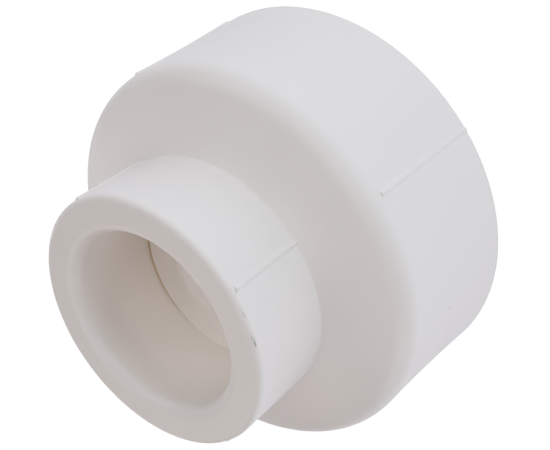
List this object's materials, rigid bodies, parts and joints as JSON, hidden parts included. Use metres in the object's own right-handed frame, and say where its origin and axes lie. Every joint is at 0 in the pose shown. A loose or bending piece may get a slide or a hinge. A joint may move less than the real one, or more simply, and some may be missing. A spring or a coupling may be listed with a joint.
{
  "type": "concentric pipe reducer",
  "caption": "White moulded plastic reducing coupling that joins a wide pipe to a narrow one on the same axis: two fusion sockets, a sloped shoulder and thin alignment ribs.",
  "frame": {"origin": "centre of the wide socket's end face, on the pipe axis, which is also the middle of the face the fitting stands on", "axes": "+Z along the common pipe axis from the wide mouth to the narrow mouth; +X, -X, +Y and -Y each point along one row of alignment ribs"},
  "size_m": [0.085, 0.085, 0.0582],
  "materials": {
    "large_mouth_rim": "turned-smooth end face of white polypropylene, satin",
    "large_socket_wall": "white polypropylene random copolymer, satin mould finish",
    "large_pipe_stop": "white polypropylene, satin mould finish, inside face",
    "shoulder": "white polypropylene, satin, very fine mould texture",
    "small_pipe_stop": "white polypropylene, satin mould finish, inside face",
    "small_socket_wall": "white polypropylene random copolymer, satin mould finish",
    "small_mouth_rim": "turned-smooth end face of white polypropylene, satin",
    "large_ribs": "white polypropylene, satin, softly rounded raised line",
    "small_ribs": "white polypropylene, satin, softly rounded raised line"
  },
  "bodies": {
    "root": {"large_mouth_rim": "large_mouth_rim", "large_socket_wall": "large_socket_wall", "large_pipe_stop": "large_pipe_stop", "shoulder": "shoulder", "small_pipe_stop": "small_pipe_stop", "small_socket_wall": "small_socket_wall", "small_mouth_rim": "small_mouth_rim", "large_rib_1": "large_ribs", "large_rib_2": "large_ribs", "large_rib_3": "large_ribs", "large_rib_4": "large_ribs", "small_rib_1": "small_ribs", "small_rib_2": "small_ribs", "small_rib_3": "small_ribs", "small_rib_4": "small_ribs"}
  },
  "joints": []
}
